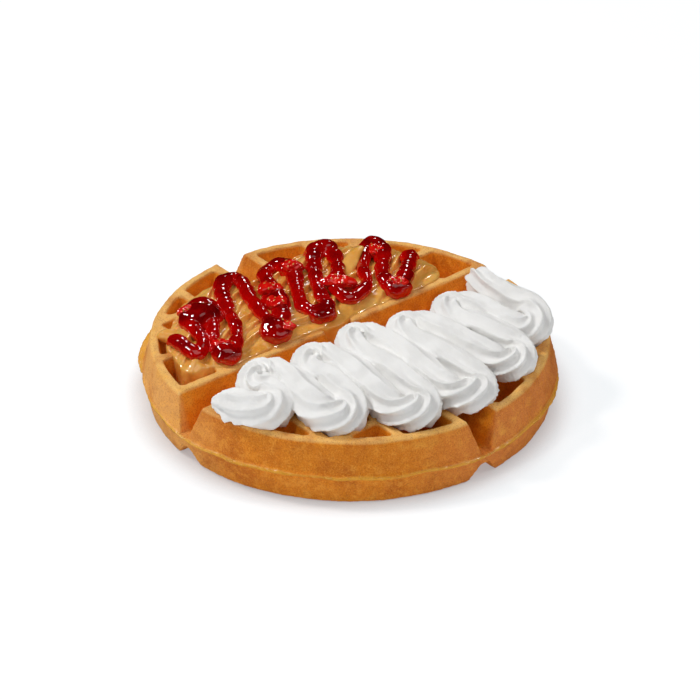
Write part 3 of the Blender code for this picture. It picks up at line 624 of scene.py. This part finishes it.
def kept_inside(obj):
    """Moves points that the relief pushed out of the object's box back onto it."""
    low, high = cad_box
    for vertex in obj.data.vertices:
        vertex.co.x = min(max(vertex.co.x, low.x), high.x)
        vertex.co.y = min(max(vertex.co.y, low.y), high.y)
        vertex.co.z = min(max(vertex.co.z, low.z), high.z)


def waffle(material):
    """The baked waffle with its uneven crust."""
    body = waffle_body("waffle_rough", 0.0, True, GROOVE_RIDGES)
    remeshed(body, CRUST_GRAIN)
    smoothed(body, 0.5, 1)
    roughened(body, *CRUST_WARP)
    roughened(body, *CRUST_PITS)
    body = baked(body, "waffle_fine")
    thinned(body, CRUST_FACES)
    body = baked(body, "waffle_crust")
    kept_inside(body)
    finish(body, material, "waffle")


# Peanut butter


def spread_edge():
    """A search tree of points on the peanut butter's outline."""
    outline = through([Vector((x, y, 0)) * MM for x, y in SPREAD_OUTLINE], 0.8 * MM, closed=True)
    tree = kdtree.KDTree(len(outline))
    for index, point in enumerate(outline):
        tree.insert(point, index)
    tree.balance()
    return tree


EDGE = spread_edge()


def spread_level(x, y):
    """The height of the spread's top: a low slab whose folds run along Y, lower towards its edge."""
    warp = noise.noise(Vector((x, y, 0)) / SPREAD_WARP[0]) * SPREAD_WARP[1]
    ripple = noise.noise(Vector((x, y, 30 * MM)) / SPREAD_RIPPLE[0]) * SPREAD_RIPPLE[1]
    phase = ((x + SPREAD_FOLD_LEAN * y + warp + ripple) / SPREAD_FOLD_PITCH) % 1.0
    rise = min(phase / SPREAD_FOLD_RISE, 1 - smoothstep(SPREAD_FOLD_RISE, 1.0, phase))
    drawn_place = Vector((x * 1.2, y * 0.6, 9 * MM))
    swell = SPREAD_SWELL_MIDDLE + SPREAD_SWELL[1] * noise.noise(drawn_place / SPREAD_SWELL[0])
    away = EDGE.find(Vector((x, y, 0)))[2]
    edge = smoothstep(0, SPREAD_APRON, away)
    fold = SPREAD_FOLD * (rise - SPREAD_FOLD_MIDDLE) * max(SPREAD_SWELL_LEAST, swell)
    sway = SPREAD_SWAY[1] * noise.noise(Vector((x, y, 50 * MM)) / SPREAD_SWAY[0])
    inward = SPREAD_EDGE_SHARE + (1 - SPREAD_EDGE_SHARE) * edge
    return SPREAD_TOP - SPREAD_APRON_DROP * (1 - edge) + (fold + sway) * inward


def flattened(angle, heading, place):
    """An oval section that lies flat."""
    return 1 / math.hypot(math.cos(angle), math.sin(angle) / SPREAD_TONGUE_FLATNESS)


def peanut_butter(room, material):
    """The spread, with its folds, tongue and lobes, cut to the waffle it lies on."""
    outline = through([Vector((x, y, 0)) * MM for x, y in SPREAD_OUTLINE], 1.5 * MM, closed=True)
    shape = bmesh.new()
    foot = [shape.verts.new((p.x, p.y, SPREAD_FOOT)) for p in outline]
    top = [shape.verts.new((p.x, p.y, SPREAD_TOP)) for p in outline]
    count = len(outline)
    for index in range(count):
        after = (index + 1) % count
        shape.faces.new((foot[index], foot[after], top[after], top[index]))
    shape.faces.new(foot)
    shape.faces.new(top)
    bmesh.ops.recalc_face_normals(shape, faces=shape.faces)
    slab = mesh_object("spread_slab", shape)
    remeshed(slab, SPREAD_GRAIN)
    smoothed(slab, 0.5, SPREAD_CORNER_ROUNDS)
    slab = baked(slab, "spread_soft")
    for vertex in slab.data.vertices:
        share = (vertex.co.z - SPREAD_FOOT) / (SPREAD_TOP - SPREAD_FOOT)
        level = spread_level(vertex.co.x, vertex.co.y)
        vertex.co.z = SPREAD_FOOT + max(0.0, share) * (level - SPREAD_FOOT)
    tongue_marks = through([Vector(mark) * MM for mark in SPREAD_TONGUE], 0.8 * MM)
    tongue_places = [mark.to_3d() for mark in tongue_marks]
    tongue_radii = [mark.w for mark in tongue_marks]
    tongue = swept("spread_tongue", tongue_places, tongue_radii, SPREAD_TONGUE_SIDES, flattened)
    shape = bmesh.new()
    shape.from_mesh(slab.data)
    shape.from_mesh(tongue.data)
    bpy.data.objects.remove(slab)
    bpy.data.objects.remove(tongue)
    for x, y, level, half_length, half_width, half_height, turn in SPREAD_LOBES:
        form = (half_length, half_width, half_height * MM, turn, level * MM)
        lump(shape, x, y, *form, SPREAD_LOBE_UNEVEN, SPREAD_LOBE_DETAIL)
    spread = mesh_object("spread_whole", shape)
    remeshed(spread, SPREAD_GRAIN)
    smoothed(spread, 0.5, 1)
    cut(spread, room, "MANIFOLD")
    spread = baked(spread, "peanut_butter_spread")
    finish(spread, material, "peanut_butter")


# Strawberry jam


def bed_level(x, y):
    """The height at which jam rides over the spread's folds at a place, given in metres."""
    reach = JAM_BRIDGE
    near = [spread_level(x + dx * reach, y + dy * reach) for dx in (-1, 0, 1) for dy in (-1, 0, 1)]
    return (sum(near) / len(near) + max(near)) / 2


def jam(material):
    """The strand of jam with its pools. Each point keeps how thick the jam is there, for its colour."""
    marks = [Vector((x, y, radius)) * MM for x, y, radius in JAM_ROUTE]
    places = []
    radii = []
    for mark in through(marks, JAM_STEP):
        radius = mark.z * (JAM_FULLNESS + JAM_SWELL[1] * noise.noise(mark / JAM_SWELL[0]))
        places.append(Vector((mark.x, mark.y, bed_level(mark.x, mark.y) + radius * JAM_SINK)))
        radii.append(radius)
    for index, share in enumerate(JAM_ENDS):
        radii[index] *= share
        radii[-1 - index] *= share
    strand = swept("jam_strand", places, radii, JAM_SIDES, lambda angle, heading, place: 1.0)
    for index, vertex in enumerate(strand.data.vertices):
        middle = places[index // JAM_SIDES].z
        vertex.co.z = middle + (vertex.co.z - middle) * JAM_FLATNESS
    shape = bmesh.new()
    shape.from_mesh(strand.data)
    bpy.data.objects.remove(strand)
    for x, y, half_length, half_width, height, turn in JAM_POOLS:
        level = bed_level(x * MM, y * MM)
        form = (half_length, half_width, height * MM, turn, level)
        lump(shape, x, y, *form, JAM_POOL_UNEVEN, LUMP_DETAIL)
    gel = mesh_object("jam_soft", shape)
    remeshed(gel, JAM_GRAIN)
    smoothed(gel, 0.5, 3)
    roughened(gel, *JAM_RELIEF)
    smoothed(gel, 0.5, 6)
    gel = baked(gel, "strawberry_gel")
    thin = gel.data.attributes.new("thickness", "FLOAT", "POINT")
    beds = {}
    for index, vertex in enumerate(gel.data.vertices):
        spot = (round(vertex.co.x / MM), round(vertex.co.y / MM))
        if spot not in beds:
            beds[spot] = bed_level(spot[0] * MM, spot[1] * MM)
        thin.data[index].value = (vertex.co.z - beds[spot]) / JAM_DEEP
    finish(gel, material, "jam")
    return gel


def fruit_middle(gel, x, y):
    """The middle of a piece of fruit that shows a little above the jam's top at this place."""
    above = Vector((x, y, 80)) * MM
    hit, place, _, _ = gel.ray_cast(above, Vector((0, 0, -1)))
    level = place.z if hit else bed_level(x * MM, y * MM)
    return Vector((x * MM, y * MM, level + FRUIT_SHOWING - FRUIT_HALF_HEIGHT))


def fruit(gel, material):
    """The pieces of strawberry that show in the jam."""
    shape = bmesh.new()
    for x, y, half_length, half_width, turn in FRUIT:
        level = fruit_middle(gel, x, y).z
        form = (half_length, half_width, FRUIT_HALF_HEIGHT, turn, level)
        lump(shape, x, y, *form, FRUIT_UNEVEN, LUMP_DETAIL)
    pieces = mesh_object("strawberry_pieces", shape)
    roughened(pieces, *FRUIT_RELIEF)
    pieces = baked(pieces, "strawberry_pieces")
    finish(pieces, material, "jam")
    return pieces


def seeds(gel, pieces, material):
    """Seeds set round the strawberry pieces, evenly by the golden angle."""
    shape = bmesh.new()
    for index, (x, y, *_) in enumerate(FRUIT):
        middle = fruit_middle(gel, x, y)
        for count in range(SEEDS):
            up = SEED_LOWEST + SEED_SPAN * (count + 0.5) / SEEDS
            round_it = count * GOLDEN_ANGLE + index
            level_reach = math.sqrt(1 - up * up)
            aim = Vector((level_reach * math.cos(round_it), level_reach * math.sin(round_it), up))
            hit, place, normal, _ = pieces.ray_cast(middle + aim * 20 * MM, -aim)
            if not hit:
                continue
            seed = bmesh.ops.create_icosphere(shape, subdivisions=2, radius=SEED_RADIUS)["verts"]
            tilt = normal.to_track_quat("Z", "Y").to_matrix()
            for vertex in seed:
                vertex.co = place + tilt @ (vertex.co * Vector(SEED_FORM))
    dots = mesh_object("strawberry_seeds", shape)
    finish(dots, material, "jam")


# Whipped cream


def star(angle, heading, place):
    """The nozzle's star, which keeps its heading. Its valleys are shallower on straights, its tips torn."""
    ridge = abs(math.sin(CREAM_FLUTES * (angle + heading) / 2))
    start, end = CREAM_CALM_SPAN
    calm = CREAM_CALM * smoothstep(*start, place.x) * smoothstep(*end, place.x)
    slump = 1 + CREAM_SLUMP * max(0.0, -math.sin(angle))
    tail = 1 - smoothstep(0, CREAM_TAIL, (place - Vector(CREAM_ROUTE[0][:3]) * MM).length)
    crest = (1 - ridge) ** 2 * max(0.0, 0.2 - math.sin(angle)) + tail
    ragged = CREAM_TORN * crest * noise.noise(place / CREAM_TEAR + Vector((0, 0, 2 * angle)))
    return (1 - CREAM_FLUTE_DEPTH * (1 - calm) * ridge) * slump + ragged


def whipped_cream(room, material):
    """The piped rope, from its blunt start to its torn tail, cut to the waffle it lies on."""
    route = [Vector(point) * MM for point in reversed(CREAM_ROUTE)]
    marks = through(route, CREAM_STEP)
    places = []
    radii = []
    for index, mark in enumerate(marks):
        place = mark.to_3d()
        start = 0.7 + 0.3 * index / CREAM_START_RINGS
        tail = 0.4 + 0.6 * ((len(marks) - 1 - index) / CREAM_TAIL_RINGS) ** 0.8
        swell = 1 + CREAM_SWELL[1] * noise.noise(place / CREAM_SWELL[0])
        places.append(place)
        radii.append(mark.w * CREAM_FULLNESS * min(1.0, tail, start) * swell)
    rope = swept("cream_rope", places, radii, CREAM_FLUTES * CREAM_FLUTE_POINTS, star)
    for vertex in rope.data.vertices:
        vertex.co.z = CREAM_MIDDLE + (vertex.co.z - CREAM_MIDDLE) * CREAM_SQUASH
    remeshed(rope, CREAM_GRAIN)
    smoothed(rope, 0.5, 1)
    roughened(rope, *CREAM_RELIEF)
    cut(rope, room, "MANIFOLD")
    rope = baked(rope, "whipped_cream_rope")
    kept_inside(rope)
    finish(rope, material, "whipped_cream")


# Materials


def node(tree, kind, inputs=None, **settings):
    """A shader node. Each input takes a value or another node's output."""
    made = tree.nodes.new("ShaderNode" + kind)
    for name, value in settings.items():
        setattr(made, name, value)
    for socket, value in (inputs or {}).items():
        if isinstance(value, bpy.types.NodeSocket):
            tree.links.new(value, made.inputs[socket])
        else:
            made.inputs[socket].default_value = value
    return made


def new_surface(name, values):
    """A material, its node tree and its shader, with these values set on the shader."""
    material = bpy.data.materials.new(name)
    material.use_nodes = True
    tree = material.node_tree
    shader = tree.nodes["Principled BSDF"]
    for socket, value in values.items():
        shader.inputs[socket].default_value = value
    return material, tree, shader


def noise_at(tree, place, size, detail=3.0, roughness=0.55):
    """Soft noise from 0 to 1 whose features are about this size in metres."""
    inputs = {"Vector": place, "Scale": 1 / size, "Detail": detail, "Roughness": roughness}
    return node(tree, "TexNoise", inputs).outputs["Fac"]


def graded(tree, value, low, high, to_low=0.0, to_high=1.0):
    """The value carried smoothly from one range to another."""
    made = node(tree, "MapRange", {
        "Value": value, "From Min": low, "From Max": high, "To Min": to_low, "To Max": to_high,
    }, interpolation_type="SMOOTHSTEP")
    return made.outputs["Result"]


def calculated(tree, operation, first, second, clamp=True):
    """The result of an operation on two values, kept from 0 to 1 unless clamp is off."""
    made = node(tree, "Math", {0: first, 1: second}, operation=operation, use_clamp=clamp)
    return made.outputs[0]


def mixed(tree, share, first, second):
    """One colour over another by this share."""
    made = tree.nodes.new("ShaderNodeMix")
    made.data_type = "RGBA"
    for socket, value in ((made.inputs[0], share), (made.inputs[6], first), (made.inputs[7], second)):
        if isinstance(value, bpy.types.NodeSocket):
            tree.links.new(value, socket)
        elif isinstance(value, tuple):
            socket.default_value = (*value, 1.0)
        else:
            socket.default_value = value
    return made.outputs[2]


def bumped(tree, shader, height, distance, strength=1.0):
    """Roughens the shader's surface by a relief this many metres high."""
    made = node(tree, "Bump", {"Height": height, "Distance": distance, "Strength": strength})
    tree.links.new(made.outputs["Normal"], shader.inputs["Normal"])


def crust():
    """Pale on top, golden on the walls, browner in patches and in fine grains, with a shinier seam.
    The outer wall has painted light on its left and painted shade and sheen on its right; sharp edges get a
    painted highlight.
    """
    material, tree, shader = new_surface("crust", {})
    place = node(tree, "TexCoord").outputs["Object"]
    height = node(tree, "SeparateXYZ", {"Vector": place}).outputs["Z"]
    flat = node(tree, "VectorMath", {0: place, 1: (1.0, 1.0, 0.0)}, operation="MULTIPLY").outputs[0]
    radius = node(tree, "VectorMath", {0: flat}, operation="LENGTH").outputs["Value"]
    lean = {0: place, 1: (0.7, 0.7, 0.0)}
    across = node(tree, "VectorMath", lean, operation="DOT_PRODUCT").outputs["Value"]
    outside = graded(tree, radius, 0.0825, 0.0858)
    deep = graded(tree, height, 0.027, 0.0165)
    top = graded(tree, height, 0.0270, 0.0282)
    seam = graded(tree, radius, 0.0887, 0.0896)
    patches = noise_at(tree, place, 15 * MM, 2.5)
    mottle = noise_at(tree, place, 3.2 * MM, 4.0, 0.6)
    grain = noise_at(tree, place, 0.65 * MM, 4.0, 0.75)
    inner = mixed(tree, deep, CRUST_WALL, CRUST_FLOOR)
    # The left of the outer wall is painted paler: painted light
    side = mixed(tree, graded(tree, across, -0.03, -0.08, 0.0, 0.75), CRUST_SIDE, CRUST_PAINTED_LIGHT_LEFT)
    # The right of the outer wall is painted a little darker and bluer: painted shade and sheen
    side = mixed(tree, graded(tree, across, 0.02, 0.07, 0.0, 0.8), side, CRUST_PAINTED_SHADE_SHEEN_RIGHT)
    colour = mixed(tree, outside, inner, side)
    colour = mixed(tree, top, colour, CRUST_TOP)
    colour = mixed(tree, graded(tree, patches, 0.45, 0.70, 0.0, 0.6), colour, CRUST_BROWN)
    colour = mixed(tree, graded(tree, patches, 0.42, 0.25, 0.0, 0.5), colour, CRUST_PALE)
    colour = mixed(tree, graded(tree, mottle, 0.5, 0.7, 0.0, 0.35), colour, CRUST_PALE)
    colour = mixed(tree, graded(tree, grain, 0.50, 0.64, 0.0, 0.6), colour, CRUST_BROWN)
    colour = mixed(tree, graded(tree, grain, 0.48, 0.34, 0.0, 0.6), colour, CRUST_PALE)
    colour = mixed(tree, calculated(tree, "MULTIPLY", seam, 0.6), colour, CRUST_SEAM)
    # Sharp edges, found by their pointiness, get a painted highlight
    edge = node(tree, "NewGeometry").outputs["Pointiness"]
    colour = mixed(tree, graded(tree, edge, 0.53, 0.62, 0.0, 0.55), colour, CRUST_EDGE_HIGHLIGHT)
    tree.links.new(colour, shader.inputs["Base Color"])
    tree.links.new(graded(tree, seam, 0.0, 1.0, 0.25, 0.6), shader.inputs["Specular IOR Level"])
    tree.links.new(graded(tree, seam, 0.0, 1.0, 0.45, 0.25), shader.inputs["Roughness"])
    relief = calculated(tree, "ADD", noise_at(tree, place, 0.7 * MM, 3.0, 0.7), mottle)
    bumped(tree, shader, relief, 0.55 * MM)
    return material


def nut_butter():
    """Oily and glossy, with soft streaks drawn along the folds."""
    material, tree, shader = new_surface("nut_butter", {
        "Specular IOR Level": 0.3,
        "Subsurface Weight": 0.2, "Subsurface Scale": 0.002, "Subsurface Radius": (1.0, 0.45, 0.15),
        "Coat Weight": 1.0, "Coat IOR": 1.75, "Coat Roughness": 0.05,
    })
    place = node(tree, "TexCoord").outputs["Object"]
    drawn = node(tree, "Mapping", {"Vector": place, "Scale": (1.0, 0.25, 1.0)}).outputs["Vector"]
    streaks = noise_at(tree, drawn, 5 * MM, 2.0)
    cloud = noise_at(tree, place, 9 * MM, 2.0)
    colour = mixed(tree, graded(tree, cloud, 0.35, 0.7), NUT_PALE, NUT_DARK)
    colour = mixed(tree, graded(tree, streaks, 0.5, 0.8, 0.0, 0.3), colour, NUT_STREAK)
    tree.links.new(colour, shader.inputs["Base Color"])
    tree.links.new(graded(tree, streaks, 0.3, 0.7, 0.26, 0.40), shader.inputs["Roughness"])
    drawn_relief = calculated(tree, "MULTIPLY", streaks, 0.2)
    soft_relief = noise_at(tree, place, 4.2 * MM, 1.0)
    relief = calculated(tree, "ADD", drawn_relief, soft_relief, clamp=False)
    bumped(tree, shader, relief, 0.8 * MM)
    return material


def gel():
    """Wet jam, bright where it is thin and dark where it is thick."""
    material, tree, shader = new_surface("gel", {
        "Roughness": 0.12, "Specular IOR Level": 0.0,
        "Subsurface Weight": 0.25, "Subsurface Scale": 0.0015, "Subsurface Radius": (1.0, 0.04, 0.03),
        "Coat Weight": 1.0, "Coat IOR": 1.7, "Coat Roughness": 0.03,
    })
    place = node(tree, "TexCoord").outputs["Object"]
    thickness = node(tree, "Attribute", attribute_name="thickness").outputs["Fac"]
    cloud = graded(tree, noise_at(tree, place, 9 * MM, 1.0), 0.3, 0.6, 0.6, 1.0)
    deep = calculated(tree, "MULTIPLY", graded(tree, thickness, 0.1, 1.2), cloud)
    tree.links.new(mixed(tree, deep, GEL_THIN, GEL_DEEP), shader.inputs["Base Color"])
    small_waves = calculated(tree, "MULTIPLY", noise_at(tree, place, 1.6 * MM, 1.0), 0.45)
    broad_waves = noise_at(tree, place, 4.5 * MM, 1.0)
    bumped(tree, shader, calculated(tree, "ADD", small_waves, broad_waves, clamp=False), 0.6 * MM)
    return material


def berry():
    """Wet flesh of strawberry."""
    material, tree, shader = new_surface("berry", {
        "Roughness": 0.15, "Specular IOR Level": 0.0,
        "Subsurface Weight": 0.2, "Subsurface Scale": 0.0012, "Subsurface Radius": (1.0, 0.05, 0.04),
        "Coat Weight": 1.0, "Coat IOR": 1.65, "Coat Roughness": 0.03,
    })
    place = node(tree, "TexCoord").outputs["Object"]
    flesh = noise_at(tree, place, 3 * MM, 3.0)
    colour = mixed(tree, graded(tree, flesh, 0.35, 0.7), BERRY_DARK, BERRY_BRIGHT)
    tree.links.new(colour, shader.inputs["Base Color"])
    bumped(tree, shader, noise_at(tree, place, 2.6 * MM, 2.0), 0.4 * MM)
    return material


def seed_skin():
    """Shiny straw-coloured seeds."""
    values = {"Roughness": 0.3, "Coat Weight": 0.8, "Coat Roughness": 0.1}
    material, tree, shader = new_surface("seed_skin", values)
    place = node(tree, "TexCoord").outputs["Object"]
    tone = noise_at(tree, place, 1.0 * MM)
    tree.links.new(mixed(tree, tone, SEED_BROWN, SEED_PALE), shader.inputs["Base Color"])
    return material


def cream():
    """White and soft, smooth in places and torn into grains in others."""
    material, tree, shader = new_surface("cream", {
        "Roughness": 0.5, "Specular IOR Level": 0.3,
        "Subsurface Weight": 0.1, "Subsurface Scale": 0.001, "Subsurface Radius": (1.0, 0.95, 0.85),
    })
    place = node(tree, "TexCoord").outputs["Object"]
    cloud = noise_at(tree, place, 6 * MM, 2.0)
    tree.links.new(mixed(tree, cloud, CREAM_SHADE, CREAM_WHITE), shader.inputs["Base Color"])
    torn = graded(tree, noise_at(tree, place, 9 * MM, 1.0), 0.42, 0.58, 0.2, 1.0)
    grain = noise_at(tree, place, 1.0 * MM, 4.0, 0.75)
    bumped(tree, shader, grain, 0.45 * MM, torn)
    return material


def finish(piece, material, node_name):
    """Gives a piece its material, and its place in the frame."""
    piece.data.materials.clear()
    piece.data.materials.append(material)
    piece.data.shade_smooth()
    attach(piece, "root")
    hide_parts(node_name)


# Studio


def camera():
    """The photograph's camera."""
    around = math.radians(CAMERA_AZIMUTH)
    above = math.radians(CAMERA_ELEVATION)
    level = math.cos(above)
    back = Vector((math.sin(around) * level, -math.cos(around) * level, math.sin(above)))
    right = Vector((math.cos(around), math.sin(around), 0))
    rise = back.cross(right)
    place = back * CAMERA_DISTANCE
    aim = rise * CAMERA_AIM_RISE
    data = bpy.data.cameras.new("camera")
    data.lens = CAMERA_LENS
    data.clip_end = 20
    made = bpy.data.objects.new("camera", data)
    made.location = place
    made.rotation_euler = (aim - place).to_track_quat("-Z", "Y").to_euler()
    bpy.context.scene.collection.objects.link(made)
    bpy.context.scene.camera = made


def lamp(name, place, width, power, mirrored):
    """A square light facing the waffle. Its place is to the right, towards the camera's side, and up."""
    around = math.radians(CAMERA_AZIMUTH)
    right, toward, rise = place
    across = Vector((math.cos(around), math.sin(around), 0)) * right
    near = Vector((math.sin(around), -math.cos(around), 0)) * toward
    data = bpy.data.lights.new(name, "AREA")
    data.size = width
    data.energy = power
    made = bpy.data.objects.new(name, data)
    made.location = across + near + Vector((0, 0, rise))
    made.rotation_euler = (Vector((0, 0, 0.02)) - made.location).to_track_quat("-Z", "Y").to_euler()
    made.visible_glossy = mirrored
    bpy.context.scene.collection.objects.link(made)


def studio():
    """A paper floor that glows white, with a painted contact shadow near the waffle, a soft sky and the
    lamps.
    """
    floor_shape = bmesh.new()
    bmesh.ops.create_grid(floor_shape, x_segments=1, y_segments=1, size=FLOOR_HALF)
    floor = mesh_object("floor", floor_shape)
    material, tree, shader = new_surface("floor_paper", {
        "Base Color": FLOOR_PAPER, "Roughness": 0.9, "Specular IOR Level": 0.0,
        "Emission Color": FLOOR_GLOW,
    })
    # The glow is dimmed where something stands close above the floor: a painted contact shadow
    painted_shadow_openness = node(tree, "AmbientOcclusion", {"Distance": FLOOR_PAINTED_SHADOW_REACH}, samples=8).outputs["AO"]
    glow = graded(tree, painted_shadow_openness, 0.25, 1.0, *FLOOR_GLOW_RANGE)
    tree.links.new(glow, shader.inputs["Emission Strength"])
    floor.data.materials.append(material)
    floor.visible_glossy = False
    world = bpy.data.worlds.new("studio")
    world.use_nodes = True
    sky = world.node_tree
    aim = node(sky, "TexCoord").outputs["Generated"]
    upward = node(sky, "SeparateXYZ", {"Vector": aim}).outputs["Z"]
    background = sky.nodes["Background"]
    background.inputs["Color"].default_value = (1.0, 1.0, 1.0, 1.0)
    sky.links.new(graded(sky, upward, 0.0, 0.9, *SKY_RANGE), background.inputs["Strength"])
    world.cycles_visibility.glossy = False
    bpy.context.scene.world = world
    bpy.context.scene.view_settings.view_transform = "Standard"
    for setting in LAMPS:
        lamp(*setting)


def main():
    camera()
    studio()
    waffle(crust())
    room = waffle_body("waffle_room", -BEDDING, False, 0)
    peanut_butter(room, nut_butter())
    jelly = jam(gel())
    pieces = fruit(jelly, berry())
    seeds(jelly, pieces, seed_skin())
    whipped_cream(room, cream())
    bpy.data.objects.remove(room)


main()
